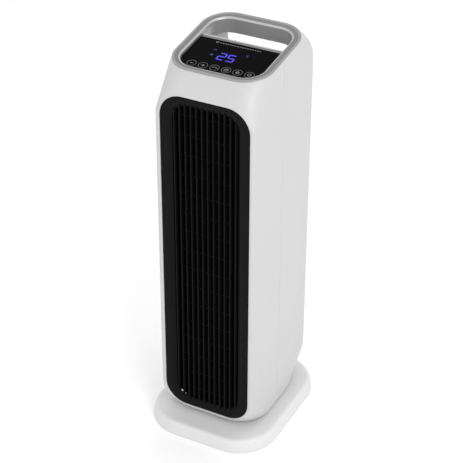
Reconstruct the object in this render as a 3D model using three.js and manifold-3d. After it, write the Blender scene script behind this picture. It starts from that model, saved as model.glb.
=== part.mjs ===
// Ceramic tower space heater: a tall tower that swings on a low base. Millimetres, +Z up, front towards -Y.
// The origin is at the centre of the base's footprint, on the surface that the rubber feet stand on.
import * as THREE from "three";
import { mergeVertices } from "three/addons/utils/BufferGeometryUtils.js";
import Module from "manifold-3d";

const wasm = await Module();
wasm.setup();

// ---------- driving dimensions ----------
const GAP = 0.3; // between touching pieces
const TOWER_Y = 1.6; // the tower's depth centre sits this far behind the base's centre
const BODY_W = 150.7, BODY_D = 181.4; // tower section
const WALL = 2.8; // moulded shell wall
const SPLIT_Y = -1.4; // plane where the front shell meets the rear shell
const EDGE_R = 4.5; // vertical edge radius of the tower

const BASE_W = 199.8, BASE_L = 236, BASE_R = 61; // base footprint
const BASE_RIM_Z = 0.5; // underside of the base's rim
const BASE_TOP_Z = 23; // top of the base under the tower; it falls away gently towards a rounded edge
const TOWER_Z = 24.4; // underside of the tower

const GRILLE_W = 136.4, GRILLE_Z0 = 39.4, GRILLE_Z1 = 555.8, GRILLE_R = 34.3; // front opening
const GRILLE_RECESS = 1.2, GRILLE_T = 3;
const RIBS = 12, RIB_PITCH = 8.5, RIB_W = 2.4; // upright ribs of the front grille
const SLOT_BORDER = 13.5; // plain border above and below the slots
const FIELD_W = 100.8; // width of the slotted field

const RING_W = 147.8, RING_L = 154.36, RING_R = 40.2; // handle ring outline in its own plane
const RING_TILT = THREE.MathUtils.degToRad(7.66); // the ring's front is the low side
const RING_Y = 5.2, RING_Z = 598.7; // centre of the ring's top face
const RIDGE_X = 70.57, RIDGE_Y = 72.84, RIDGE_R = 37.2, RIDGE_Z = -0.35; // line between the ring's two bands
const RING_T = 1.3, RING_FILLET = 2.8; // flange thickness, and the roll into the opening
const RING_IN_W = 123.2, RING_IN_F = 66, RING_IN_B = 63.2; // inner wall: width, reach to the front and to the back
const RING_IN_RF = 27.5, RING_IN_RB = 27.5;
const SKIRT = 24; // depth of the ring's wall around the hand pocket
const GLASS_DEPTH = 5.8, GLASS_T = 2.2, GLASS_BACK = 12.1; // touch panel, sunk into the ring
const DECK_BACK = 16.6; // rear edge of the deck behind the panel
const POCKET_DEPTH = 46; // depth of the hand pocket's floor

const WINDOW_W = 118, WINDOW_Z0 = 560, WINDOW_Z1 = 582.5, WINDOW_R = 4; // finger window through the rear wall

const NECK_R = 28, NECK_HOLE_R = 32; // swivel neck and the hole it turns in
const GEAR_MODULE = 1.5, GEAR_TEETH = 48, PINION_TEETH = 12; // swing drive
const GEAR_PITCH_R = (GEAR_MODULE * GEAR_TEETH) / 2, PINION_PITCH_R = (GEAR_MODULE * PINION_TEETH) / 2;
const PINION_Y = GEAR_PITCH_R + PINION_PITCH_R;

const FAN_Y = 14, FAN_R = 33, FAN_Z0 = 96, FAN_Z1 = 490, BLADES = 14; // crossflow drum
const SHAFT_R = 4;

const INTAKE_W = 104, INTAKE_Z0 = 128, INTAKE_Z1 = 468, INTAKE_R = 7, INTAKE_SLOTS = 20; // rear air intake
const ROCKER_TILT = THREE.MathUtils.degToRad(8); // each way from level
const ROCKER_X = 34, ROCKER_Z = 92, GLAND_X = -34, GLAND_Z = 88;
const PLUNGER_Y = -72;

// ---------- shape helpers ----------
const arc = (cx, cy, r, a0, a1, n) =>
  Array.from({ length: n + 1 }, (_, i) => {
    const a = THREE.MathUtils.degToRad(a0 + ((a1 - a0) * i) / n);
    return [cx + r * Math.cos(a), cy + r * Math.sin(a)];
  });
// Rounded rectangle, counter-clockwise, with its own radius at the low-y and the high-y corners.
const outline = (x, y0, y1, r0, r1, n = 5) => [
  ...arc(x - r1, y1 - r1, r1, 0, 90, n),
  ...arc(-x + r1, y1 - r1, r1, 90, 180, n),
  ...arc(-x + r0, y0 + r0, r0, 180, 270, n),
  ...arc(x - r0, y0 + r0, r0, 270, 360, n),
];
const circle = (r, n = 24, cx = 0, cy = 0) => arc(cx, cy, r, 0, 360, n).slice(0, n);
const shapeOf = (pts, holes = []) => {
  const s = new THREE.Shape(pts.map(([x, y]) => new THREE.Vector2(x, y)));
  s.holes = holes.map((h) => new THREE.Path(h.map(([x, y]) => new THREE.Vector2(x, y))));
  return s;
};
// Upright prism of a plan outline from z0 to z1.
const prism = (pts, z0, z1, holes = []) =>
  new THREE.ExtrudeGeometry(shapeOf(pts, holes), { depth: z1 - z0, bevelEnabled: false, steps: 1 }).translate(0, 0, z0);
// Prism of an outline drawn in X and Z, from y0 to y1.
const prismY = (pts, y0, y1, holes = []) =>
  new THREE.ExtrudeGeometry(shapeOf(pts, holes), { depth: y1 - y0, bevelEnabled: false, steps: 1 })
    .rotateX(Math.PI / 2)
    .translate(0, y1, 0);
// Prism of an outline drawn in Y and Z, from x0 to x1.
const prismX = (pts, x0, x1) =>
  new THREE.ExtrudeGeometry(shapeOf(pts), { depth: x1 - x0, bevelEnabled: false, steps: 1 })
    .rotateX(Math.PI / 2)
    .rotateZ(Math.PI / 2)
    .translate(x0, 0, 0);
const box = (x0, x1, y0, y1, z0, z1) =>
  new THREE.BoxGeometry(x1 - x0, y1 - y0, z1 - z0).translate((x0 + x1) / 2, (y0 + y1) / 2, (z0 + z1) / 2);
const rod = (r, z0, z1, x = 0, y = 0, n = 24) =>
  new THREE.CylinderGeometry(r, r, z1 - z0, n).rotateX(Math.PI / 2).translate(x, y, (z0 + z1) / 2);
const rodY = (r, y0, y1, x, z, n = 16) => new THREE.CylinderGeometry(r, r, y1 - y0, n).translate(x, (y0 + y1) / 2, z);
// Closed skin through a stack of sections with equal point counts, lowest first.
const loft = (rings) => {
  const n = rings[0].length,
    pos = [],
    idx = [];
  rings.forEach((r) => r.forEach((p) => pos.push(...p)));
  const mean = (r) => [0, 1, 2].map((k) => r.reduce((s, p) => s + p[k], 0) / n);
  pos.push(...mean(rings[0]), ...mean(rings[rings.length - 1]));
  const low = rings.length * n,
    high = low + 1,
    last = (rings.length - 1) * n;
  for (let j = 0; j < n; j++) {
    const k = (j + 1) % n;
    for (let i = 0; i < rings.length - 1; i++) {
      const a = i * n + j,
        b = i * n + k;
      idx.push(a, b, b + n, a, b + n, a + n);
    }
    idx.push(low, k, j, high, last + j, last + k);
  }
  const g = new THREE.BufferGeometry();
  g.setAttribute("position", new THREE.Float32BufferAttribute(pos, 3));
  g.setIndex(idx);
  return g;
};
const solid = (geometry) => {
  const g = geometry.clone();
  for (const name of Object.keys(g.attributes)) if (name !== "position") g.deleteAttribute(name);
  const m = mergeVertices(g, 1e-4);
  return new wasm.Manifold(
    new wasm.Mesh({ numProp: 3, vertProperties: m.attributes.position.array, triVerts: new Uint32Array(m.index.array) }),
  );
};
const geometryOf = (m) => {
  const mesh = m.getMesh(),
    g = new THREE.BufferGeometry();
  g.setAttribute("position", new THREE.BufferAttribute(new Float32Array(mesh.vertProperties), 3));
  g.setIndex(new THREE.BufferAttribute(new Uint32Array(mesh.triVerts), 1));
  return g;
};
const join = (...gs) => gs.map((g) => (g.isBufferGeometry ? solid(g) : g)).reduce((a, b) => a.add(b));
const cut = (a, ...gs) =>
  gs.map((g) => (g.isBufferGeometry ? solid(g) : g)).reduce((s, b) => s.subtract(b), a.isBufferGeometry ? solid(a) : a);
const meet = (a, b) => (a.isBufferGeometry ? solid(a) : a).intersect(b.isBufferGeometry ? solid(b) : b);

// ---------- materials ----------
const finish = (color, roughness, metalness = 0) => new THREE.MeshStandardMaterial({ color, roughness, metalness });
const WHITE = () => finish(0xe4e4e6, 0.32);
const BASE_WHITE = () => finish(0xdcdcde, 0.36);
const BLACK = () => finish(0x1c1c1e, 0.5);
const SILVER = () => finish(0x8f9092, 0.38, 0.55);
const GLASS = () => finish(0x0b0b0d, 0.12);
const RUBBER = () => finish(0x252525, 0.85);
const STEEL = () => finish(0xa9abad, 0.35, 0.9);
const ALU = () => finish(0xc2c4c6, 0.4, 0.9);
const BOARD = () => finish(0x1f5a35, 0.6);
const POM = () => finish(0xeceae2, 0.45);

const heater = new THREE.Group();
const add = (name, shape, material, place) => {
  const g = shape.isBufferGeometry ? shape : geometryOf(shape);
  const flat = g.index ? g.toNonIndexed() : g;
  flat.computeVertexNormals();
  const mesh = new THREE.Mesh(flat, material);
  mesh.name = name;
  (place || heater).add(mesh);
  return mesh;
};

// ---------- tower hull ----------
// Sections from the underside to the rim that carries the ring: height on the centre line, half width, front and back
// reach, corner radius at the front and at the back, and tilt. The corners are tight up the tower's height and open
// out to the rounded footprint below, where the front tucks under, and to the ring's outline above.
const HW = BODY_W / 2, HD = BODY_D / 2;
const HULL = [
  [TOWER_Z, 74.7, -77.6, 83, 54, 62, 0],
  [26, 75.25, -79.6, 85, 48, 56, 0],
  [29, HW, -82.2, 87.2, 45, 53, 0],
  [32, HW, -84.8, 88.6, 43, 51, 0],
  [36, HW, -88.6, 89.5, 41, 49, 0],
  [39.4, HW, -90.6, 89.8, 38.5, 47.5, 0],
  [45, HW, -HD, 90.4, 23, 40, 0],
  [50, HW, -HD, HD, 16, 34, 0],
  [57, HW, -HD, HD, 10, 25, 0],
  [64, HW, -HD, HD, 7, 15, 0],
  [72, HW, -HD, HD, 5, 8, 0],
  [82, HW, -HD, HD, EDGE_R, EDGE_R, 0],
  [515, HW, -HD, HD, EDGE_R, EDGE_R, 0],
  [527, HW, -HD, HD, 5.2, EDGE_R, 0],
  [535, HW, -HD, HD, 11.3, EDGE_R, 0],
  [542, 75.33, -HD, HD, 18.1, EDGE_R, 0],
  [549, 75.26, -HD, HD, 24.7, EDGE_R, 0],
  [556, 75.13, -90.1, HD, 29.7, EDGE_R, 0],
  [563.5, 74.96, -88.15, HD, 32.7, EDGE_R, 1.42],
  [570, 74.79, -86.2, HD, 34.5, 6.5, 2.64],
  [576, 74.6, -84.1, HD, 35.8, 12.2, 3.77],
  [580, 74.5, -82.3, 90.3, 36.6, 16.7, 4.53],
  [586, 74.3, -79.1, 88.3, 37.4, 24.5, 5.66],
  [589, 74.2, -77.4, 86.7, 37.8, 28.7, 6.23],
  [593, 74.04, -75.1, 83.8, 38.9, 34.6, 6.98],
  [596.6, 73.9, -72.9, 80.5, 40.2, 40.2, 7.66],
];
const hullAt = (z) => {
  let i = 0;
  while (i < HULL.length - 2 && HULL[i + 1][0] < z) i++;
  const [a, b] = [HULL[i], HULL[i + 1]],
    t = (z - a[0]) / (b[0] - a[0]);
  return a.map((v, k) => v + (b[k] - v) * t);
};
const hullRing = ([z, w, yf, yb, rf, rb, tilt], inset = 0, lift = 0) =>
  outline(w - inset, yf + inset, yb - inset, Math.max(rf - inset, 1.7), Math.max(rb - inset, 1.7), 4).map(([x, y]) => [
    x,
    y + TOWER_Y,
    z + lift + Math.tan(THREE.MathUtils.degToRad(tilt)) * y,
  ]);
const hullOuter = solid(loft(HULL.map((s) => hullRing(s))));
const floorZ = TOWER_Z + WALL;
const hullInner = solid(
  loft([
    hullRing(hullAt(floorZ), WALL),
    ...HULL.filter((s) => s[0] > floorZ + 0.3).map((s) => hullRing(s, WALL)),
    hullRing(HULL[HULL.length - 1], WALL, 12),
  ]),
);
// The room inside the shell, with the assembly gap taken off.
const hullRoom = solid(
  loft([
    hullRing(hullAt(floorZ + GAP), WALL + GAP),
    ...HULL.filter((s) => s[0] > floorZ + 1).map((s) => hullRing(s, WALL + GAP)),
    hullRing(HULL[HULL.length - 1], WALL + GAP, 12),
  ]),
);
const grilleOutline = (inset = 0) =>
  outline(GRILLE_W / 2 - inset, GRILLE_Z0 + inset, GRILLE_Z1 - inset, GRILLE_R - inset, GRILLE_R - inset, 6);
const frontPlane = TOWER_Y - HD;
const backPlane = TOWER_Y + HD;
const skin = cut(hullOuter, hullInner, rod(NECK_R + 4, TOWER_Z - 5, TOWER_Z + 8));

// Front shell: the wall ahead of the seam, with the big rounded opening for the grille.
const frontShell = cut(
  meet(skin, box(-90, 90, -120, SPLIT_Y - GAP / 2, 20, 640)),
  prismY(grilleOutline(), frontPlane - 10, frontPlane + 12),
);
add("front_shell", frontShell, WHITE());

// Rear shell: intake opening, finger window under the handle, switch and cord cut-outs, four screw wells.
const windowOutline = (g = 0) => outline(WINDOW_W / 2 + g, WINDOW_Z0 - g, WINDOW_Z1 + g, WINDOW_R + g, WINDOW_R + g, 3);
const SCREWS = [[-60, 112], [60, 112], [-60, 500], [60, 500]];
const rearShell = cut(
  meet(skin, box(-90, 90, SPLIT_Y + GAP / 2, 120, 20, 640)),
  prismY(windowOutline(), backPlane - 20, backPlane + 10),
  prismY(outline(INTAKE_W / 2 + GAP, INTAKE_Z0 - GAP, INTAKE_Z1 + GAP, INTAKE_R, INTAKE_R, 3), backPlane - 12, backPlane + 10),
  box(ROCKER_X - 6.8, ROCKER_X + 6.8, backPlane - 12, backPlane + 10, ROCKER_Z - 10, ROCKER_Z + 10),
  rodY(6.4, backPlane - 12, backPlane + 10, GLAND_X, GLAND_Z),
  ...SCREWS.map(([x, z]) => rodY(2.2, backPlane - 12, backPlane + 10, x, z, 10)),
);
add("rear_shell", rearShell, WHITE());
SCREWS.forEach(([x, z], i) => {
  add("shell_screw_" + (i + 1), join(rodY(3.6, backPlane + GAP, backPlane + 1.9, x, z, 12), rodY(1.8, backPlane - 12, backPlane + 1, x, z, 10)), STEEL());
});

// ---------- front grille ----------
const slotTop = (x) => {
  // the slotted field is a rounded rectangle inside the border
  const hw = FIELD_W / 2 + 1, r = 24, hz = (GRILLE_Z1 - GRILLE_Z0) / 2 - SLOT_BORDER;
  const over = Math.max(0, Math.abs(x) - (hw - r));
  return hz - r + Math.sqrt(Math.max(0, r * r - over * over));
};
const grilleMidZ = (GRILLE_Z0 + GRILLE_Z1) / 2;
const slots = Array.from({ length: RIBS + 1 }, (_, i) => {
  const x = (i - RIBS / 2) * RIB_PITCH, h = (RIB_PITCH - RIB_W) / 2, top = slotTop(Math.min(Math.abs(x) + h, FIELD_W / 2));
  return box(Math.max(x - h, -FIELD_W / 2), Math.min(x + h, FIELD_W / 2), frontPlane - 5, frontPlane + 10, grilleMidZ - top, grilleMidZ + top);
});
add("front_grille", cut(prismY(grilleOutline(GAP), frontPlane + GRILLE_RECESS, frontPlane + GRILLE_RECESS + GRILLE_T), ...slots), BLACK());

// ---------- rear intake ----------
const slatStep = (INTAKE_Z1 - INTAKE_Z0 - 16) / INTAKE_SLOTS;
const intakeSlots = Array.from({ length: INTAKE_SLOTS }, (_, i) => {
  const z = INTAKE_Z0 + 8 + slatStep * (i + 0.5), h = slatStep * 0.3, w = INTAKE_W / 2 - 8;
  return box(-w, w, backPlane - 10, backPlane + 10, z - h, z + h);
});
add("rear_intake_grille", cut(prismY(outline(INTAKE_W / 2, INTAKE_Z0, INTAKE_Z1, INTAKE_R - GAP, INTAKE_R - GAP, 3), backPlane - 3.2, backPlane - 0.6), ...intakeSlots), WHITE());
add("dust_filter", box(-INTAKE_W / 2 + 1, INTAKE_W / 2 - 1, backPlane - 6, backPlane - 3.6, INTAKE_Z0 + 1, INTAKE_Z1 - 1), BLACK());

// ---------- top: handle ring, touch panel, deck and hand pocket, all in the ring's tilted frame ----------
const crown = new THREE.Group();
crown.position.set(0, RING_Y, RING_Z);
crown.rotation.x = RING_TILT;
heater.add(crown);
crown.updateMatrixWorld(true);
const crownMatrix = new THREE.Matrix4().compose(crown.position, crown.quaternion, new THREE.Vector3(1, 1, 1));
const crownInverse = crownMatrix.clone().invert();
const level = (pts, z) => pts.map(([x, y]) => [x, y, z]);
const ringOuter = (inset, z) => level(outline(RING_W / 2 - inset, -RING_L / 2 + inset, RING_L / 2 - inset, RING_R - inset, RING_R - inset, 6), z);
const ringRidge = level(outline(RIDGE_X, -RIDGE_Y, RIDGE_Y, RIDGE_R, RIDGE_R, 6), RIDGE_Z);
const ringInner = (grow, z) =>
  level(outline(RING_IN_W / 2 + grow, -RING_IN_F - grow, RING_IN_B + grow, RING_IN_RF + grow, RING_IN_RB + grow, 6), z);
const ringInner2d = (grow) => ringInner(grow, 0).map(([x, y]) => [x, y]);
const handleRing = cut(
  join(
    loft([ringOuter(0, -RING_T), ringOuter(0, -0.4), ringOuter(0.4, 0), ringRidge]),
    prism(ringInner2d(2.2), -10.3, -1),
    meet(prism(ringInner2d(2), -SKIRT, -1), box(-80, 80, DECK_BACK + 0.6, 90, -SKIRT - 5, 5)),
  ),
  loft([
    ringInner(0, -SKIRT - 6),
    ringInner(0, RIDGE_Z - RING_FILLET),
    ringInner(RING_FILLET * 0.293, RIDGE_Z - RING_FILLET * 0.293),
    ringInner(RING_FILLET, RIDGE_Z),
    ringInner(RING_FILLET, 4),
  ]),
);
add("handle_ring", handleRing, SILVER(), crown);

const panelOutline = (inset, back) => outline(RING_IN_W / 2 - inset, -RING_IN_F + inset, back, RING_IN_RF - inset, 0.8, 6);
add("touch_glass", prism(panelOutline(0.4, GLASS_BACK), -GLASS_DEPTH - GLASS_T, -GLASS_DEPTH), GLASS(), crown);
const deck = join(
  prism(panelOutline(0.4, DECK_BACK), -10.3, -GLASS_DEPTH - GLASS_T - GAP),
  box(-RING_IN_W / 2 + 0.4, RING_IN_W / 2 - 0.4, GLASS_BACK + GAP, DECK_BACK, -9, -GLASS_DEPTH),
);
add("panel_deck", deck, SILVER(), crown);
add("display_board", box(-46, 46, -52, 4, -12.3, -10.7), BOARD(), crown);

// Hand pocket: a cup under the ring's skirt that opens through a wide finger tunnel to the rear window.
const cupOut = outline(RING_IN_W / 2 + 2, DECK_BACK + 0.3, RING_IN_B + 2, 1.5, RING_IN_RB + 2, 6);
const cupIn = outline(RING_IN_W / 2, DECK_BACK + 2.5, RING_IN_B, 1.2, RING_IN_RB, 6);
const cup = join(
  cut(prism(cupOut, -POCKET_DEPTH - 2.2, -SKIRT - GAP), prism(cupIn, -POCKET_DEPTH, -SKIRT + 5)),
  box(-RING_IN_W / 2 + 0.4, RING_IN_W / 2 - 0.4, DECK_BACK + 0.3, DECK_BACK + 2.5, -SKIRT - 2, -GLASS_DEPTH),
);
const tunnelRear = backPlane - WALL - GAP;
const skirtRoom = outline(RING_IN_W / 2 + 2 + GAP, DECK_BACK - 5, RING_IN_B + 2 + GAP, 1.5, RING_IN_RB + 2 + GAP, 6);
const tunnel = cut(
  meet(box(-WINDOW_W / 2 - 2, WINDOW_W / 2 + 2, 36, tunnelRear, WINDOW_Z0 - 2, WINDOW_Z1 + 1.6), hullRoom),
  prism(skirtRoom, -SKIRT - GAP, 5).applyMatrix4(crownMatrix),
  prism(cupIn, -POCKET_DEPTH, 5).applyMatrix4(crownMatrix),
);
const pocket = cut(join(geometryOf(cup).applyMatrix4(crownMatrix), tunnel), prismY(windowOutline(), 36, 100));
add("handle_pocket", pocket, WHITE());

// ---------- heating stage ----------
const HEAT_Y0 = -66, HEAT_Y1 = -48;
const elementBox = (z0, z1) => box(-31, 31, HEAT_Y0 + 2, HEAT_Y1 - 2, z0, z1);
add("ptc_element_lower", elementBox(96, 286), ALU());
add("ptc_element_upper", elementBox(304, 494), ALU());
add(
  "heater_frame",
  cut(box(-48, 48, HEAT_Y0, HEAT_Y1, 84, 506), box(-31.5, 31.5, HEAT_Y0 - 2, HEAT_Y1 + 2, 95.5, 286.5), box(-31.5, 31.5, HEAT_Y0 - 2, HEAT_Y1 + 2, 303.5, 494.5)),
  BLACK(),
);
// Outlet duct: a shallow tray between the front grille and the heater frame.
add(
  "outlet_duct",
  cut(
    prismY(outline(61, 47.5, 549, 28, 28, 4), -84.5, HEAT_Y0 - 1.5),
    prismY(outline(59.4, 49.1, 547.4, 26.4, 26.4, 4), -90, HEAT_Y0 - 3.1),
    box(-44, 44, -90, -60, 88, 502),
  ),
  BLACK(),
);
add("thermal_cutout", rodY(8, HEAT_Y1 + GAP, HEAT_Y1 + 9, 39, 400, 16), STEEL());
add("heater_lower_bracket", join(box(-52, 52, -80, -50, 44, 46), box(-44, 44, -52, -50, 44, 83.4)), STEEL());

// ---------- crossflow fan ----------
const blade = (i) => {
  const a = (i / BLADES) * Math.PI * 2;
  return new THREE.BoxGeometry(8.4, 1.2, FAN_Z1 - FAN_Z0 - 1)
    .rotateZ(0.55)
    .translate(FAN_R - 4.6, 0, (FAN_Z0 + FAN_Z1) / 2)
    .rotateZ(a)
    .translate(0, FAN_Y, 0);
};
const fanDisc = (z0, z1, hole) => prism(circle(FAN_R, 28, 0, FAN_Y), z0, z1, [circle(hole, 12, 0, FAN_Y)]);
add("fan_drum", join(fanDisc(FAN_Z0, FAN_Z0 + 2, SHAFT_R + GAP), fanDisc(292, 293.6, 22), fanDisc(FAN_Z1 - 2, FAN_Z1, SHAFT_R + GAP), ...Array.from({ length: BLADES }, (_, i) => blade(i))), BLACK());
add("fan_shaft", rod(SHAFT_R, 84, FAN_Z1 + 14, 0, FAN_Y, 16), STEEL());
add("fan_motor", cut(join(rod(31, 48, 80, 0, FAN_Y, 28), rod(12, 79, 87, 0, FAN_Y, 20)), rod(SHAFT_R + 0.4, 83, 90, 0, FAN_Y, 16)), STEEL());
const endPlate = (z0, z1, hole) => prism(outline(62, -40, 66, 6, 20, 3), z0, z1, [circle(hole, 20, 0, FAN_Y)]);
add("fan_lower_plate", endPlate(89.5, 92, 13), BLACK());
add("fan_upper_plate", endPlate(494, 496.5, 10.4), BLACK());
add("fan_upper_bush", prism(circle(10, 20, 0, FAN_Y), 494, 506, [circle(SHAFT_R + 0.3, 16, 0, FAN_Y)]), POM());
// Scroll: an opening spiral around the drum's right side, and a short tongue on its left, both between the end plates.
const spiral = (r0, r1, a0, a1, n) =>
  Array.from({ length: n + 1 }, (_, i) => {
    const t = i / n, r = r0 + (r1 - r0) * t, a = THREE.MathUtils.degToRad(a0 + (a1 - a0) * t);
    return [r * Math.cos(a), FAN_Y + r * Math.sin(a)];
  });
const band = (outer, inner) => [...outer, ...inner.reverse()];
add("scroll_wall", prism(band([...spiral(41, 56, 75, -35, 8), [54, -38]].reverse(), [...spiral(39, 54, 75, -35, 8), [52, -38]].reverse()).reverse(), 92.4, 493.6), BLACK());
add("vortex_tongue", prism([[-50, -38], [-48, -38], [-36.5, -3], [-35.6, 10], [-39, 10], [-40, -3]], 92.4, 493.6), BLACK());

// ---------- electrics ----------
add("power_board", box(-44, 44, 66, 67.6, 500, 545), BOARD());
add("power_relay_block", box(-30, 24, 52, 65.7, 508, 530), BLACK());
add("cord_gland", join(rodY(6, backPlane - 14, backPlane + 1, GLAND_X, GLAND_Z, 16), rodY(8.4, backPlane + GAP, backPlane + 2.4, GLAND_X, GLAND_Z, 20)), RUBBER());
const rockerPlate = cut(
  join(
    box(ROCKER_X - 8.6, ROCKER_X + 8.6, backPlane + GAP, backPlane + 1.8, ROCKER_Z - 12, ROCKER_Z + 12),
    box(ROCKER_X - 6.4, ROCKER_X + 6.4, backPlane - 16, backPlane + 1, ROCKER_Z - 9.6, ROCKER_Z + 9.6),
  ),
  box(ROCKER_X - 5, ROCKER_X + 5, backPlane - 8, backPlane + 8, ROCKER_Z - 8.6, ROCKER_Z + 8.6),
);
add("rocker_housing", rockerPlate, BLACK());
// Rocker cap: a shallow V seen from the side, turning on a pivot inside its housing and stored in the off position.
const rockerPivotY = backPlane - 4;
add(
  "power_rocker",
  prismX([[-2.4, -3], [4.8, -7.7], [7, -7.4], [5.4, 0], [7, 7.4], [4.8, 7.7], [-2.4, 3]], ROCKER_X - 4.6, ROCKER_X + 4.6)
    .rotateX(-ROCKER_TILT)
    .translate(0, rockerPivotY, ROCKER_Z),
  BLACK(),
);

// ---------- swivel ----------
const plateRing = hullRing(hullAt(floorZ + 0.5), WALL + 1.2).map(([x, y]) => [x, y]);
add(
  "tower_base_plate",
  cut(join(prism(plateRing, floorZ + GAP, floorZ + 3.3), rod(NECK_R, 14, floorZ + 2, 0, 0, 28)), rod(NECK_R - 4, 5, 60, 0, 0, 24)),
  POM(),
);
// Spur teeth as trapezoids, narrower than half the pitch so that the pair runs with backlash.
const toothed = (teeth, rRoot, rPitch, rTip, halfRoot, halfPitch, halfTip, first, from = 0, to = 360) => {
  const pts = [], step = 360 / teeth, at = (r, deg) => [r * Math.cos(THREE.MathUtils.degToRad(deg)), r * Math.sin(THREE.MathUtils.degToRad(deg))];
  for (let i = 0; i < teeth; i++) {
    const a = first + i * step, on = ((a - from + 720) % 360) <= to - from;
    if (on) pts.push(at(rRoot, a - halfRoot), at(rPitch, a - halfPitch), at(rTip, a - halfTip), at(rTip, a + halfTip), at(rPitch, a + halfPitch), at(rRoot, a + halfRoot));
    else if (i % 2 === 0) pts.push(at(rRoot, a));
  }
  return pts;
};
add("swing_gear", prism(toothed(GEAR_TEETH, 33.9, GEAR_PITCH_R, 37.3, 2.3, 1.45, 0.7, 3.75, 35, 145), 14.6, 19.8, [circle(NECK_R + GAP, 28)]), POM());
add(
  "swing_pinion",
  prism(toothed(PINION_TEETH, 7, PINION_PITCH_R, 10.3, 9.5, 6.2, 2.6, -90).map(([x, y]) => [x, y + PINION_Y]), 14, 20.4, [circle(2.9, 12, 0, PINION_Y)]),
  POM(),
);
add("swing_motor", join(rod(24, 5, 12.6, 0, PINION_Y, 28), rod(2.5, 12, 20.6, 0, PINION_Y, 12)), STEEL());
add("glide_ring", prism(circle(42, 36), BASE_TOP_Z + 0.25, TOWER_Z - 0.25, [circle(34, 36)]), POM());

// ---------- base ----------
const baseRing = (inset, z, n = 6) => level(outline(BASE_W / 2 - inset, -BASE_L / 2 + inset, BASE_L / 2 - inset, BASE_R - inset, BASE_R - inset, n), z);
add(
  "base_top_cover",
  cut(
    loft([baseRing(0.5, BASE_RIM_Z), baseRing(0, 1.4), baseRing(1, 10), baseRing(2.4, 15.5), baseRing(4, 18.5), baseRing(6.3, 20.5), baseRing(9, 21.3), baseRing(16, 22.2), baseRing(28, 22.8), baseRing(46, BASE_TOP_Z)]),
    loft([baseRing(2.8, 0), baseRing(3.6, 11), baseRing(6, 16.6), baseRing(9, 18.8), baseRing(18, 20.1), baseRing(30, 20.8), baseRing(46, 20.9)]),
    rod(NECK_HOLE_R, 18, 40, 0, 0, 32),
  ),
  BASE_WHITE(),
);
const FEET = { foot_front_left: [-64, -84], foot_front_right: [64, -84], foot_rear_left: [-64, 84], foot_rear_right: [64, 84] };
const BASE_SCREWS = [[-70, -45], [70, -45], [-70, 45], [70, 45]];
add(
  "base_lower_plate",
  prism(baseRing(3.2, 0).map(([x, y]) => [x, y]), 1.4, 4, [
    ...Object.values(FEET).map(([x, y]) => circle(9.4, 16, x, y)),
    ...BASE_SCREWS.map(([x, y]) => circle(2.1, 10, x, y)),
    circle(4.6, 14, 0, PLUNGER_Y),
  ]),
  BASE_WHITE(),
);
for (const [name, [x, y]] of Object.entries(FEET)) add(name, rod(9, 0, 3.6, x, y, 16), RUBBER());
BASE_SCREWS.forEach(([x, y], i) => add("base_screw_" + (i + 1), join(rod(3.2, 0.6, 1.1, x, y, 10), rod(1.8, 0.9, 14, x, y, 10)), STEEL()));

// Tip-over cut-out: a plunger that the floor holds up while the heater stands, in a switch above the lower plate.
add("tip_switch_body", cut(box(-9, 9, PLUNGER_Y - 7.5, PLUNGER_Y + 7.5, 7, 20.4), rod(6, 5, 18.5, 0, PLUNGER_Y, 16)), BLACK());
add("tip_plunger", join(rod(4, 0, 14.5, 0, PLUNGER_Y, 14), rod(5.3, 11, 12.6, 0, PLUNGER_Y, 14)), RUBBER());

export default heater;
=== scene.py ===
import math
import bpy
import bmesh
import numpy as np
from mathutils import Matrix, Vector


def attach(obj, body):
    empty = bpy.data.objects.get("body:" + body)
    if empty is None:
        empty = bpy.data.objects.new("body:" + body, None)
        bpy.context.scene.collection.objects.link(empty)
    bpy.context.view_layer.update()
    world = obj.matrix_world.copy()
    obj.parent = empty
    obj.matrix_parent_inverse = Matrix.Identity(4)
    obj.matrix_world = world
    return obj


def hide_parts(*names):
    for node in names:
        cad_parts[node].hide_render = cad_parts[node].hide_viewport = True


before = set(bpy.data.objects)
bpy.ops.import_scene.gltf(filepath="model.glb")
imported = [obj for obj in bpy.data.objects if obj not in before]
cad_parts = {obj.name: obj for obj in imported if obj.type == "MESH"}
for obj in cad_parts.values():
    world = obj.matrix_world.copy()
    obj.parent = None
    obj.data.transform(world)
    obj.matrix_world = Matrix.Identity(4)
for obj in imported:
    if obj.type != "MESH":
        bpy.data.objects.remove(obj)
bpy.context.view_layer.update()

MM = 0.001
scene = bpy.context.scene
coll = scene.collection

# ------------------------------------------------------------------ dimensions shared with the CAD (mm)
TOWER_Y = 1.6
BODY_W, BODY_D = 150.7, 181.4
HW, HD = BODY_W / 2, BODY_D / 2
FRONT, REAR = TOWER_Y - HD, TOWER_Y + HD
WALL, SPLIT_Y, EDGE_R = 2.8, -1.4, 4.5
BASE_W, BASE_L, BASE_R, BASE_TOP = 199.8, 236.0, 61.0, 23.0
TOWER_Z = 24.4
GRILLE_W, GRILLE_Z0, GRILLE_Z1, GRILLE_R = 136.4, 39.4, 555.8, 34.3
RIBS, RIB_PITCH = 12, 8.5
FIELD_W, SLOT_BORDER = 100.8, 13.5
RING_W, RING_L, RING_R = 147.8, 154.36, 40.2
RIDGE_X, RIDGE_Y, RIDGE_R, RIDGE_Z = 70.57, 72.84, 37.2, -0.35
RING_T, FILLET = 1.3, 2.8
RING_TILT, RING_Y, RING_Z = math.radians(7.66), 5.2, 598.7
IN_W, IN_F, IN_B, IN_RF, IN_RB = 123.2, 66.0, 63.2, 27.5, 27.5
SKIRT, GLASS_D, GLASS_BACK, DECK_BACK, POCKET = 24.0, 5.8, 12.1, 16.6, 46.0
WIN_W, WIN_Z0, WIN_Z1, WIN_R = 118.0, 560.0, 582.5, 4.0
INTAKE_W, INTAKE_Z0, INTAKE_Z1 = 104.0, 128.0, 468.0
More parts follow.
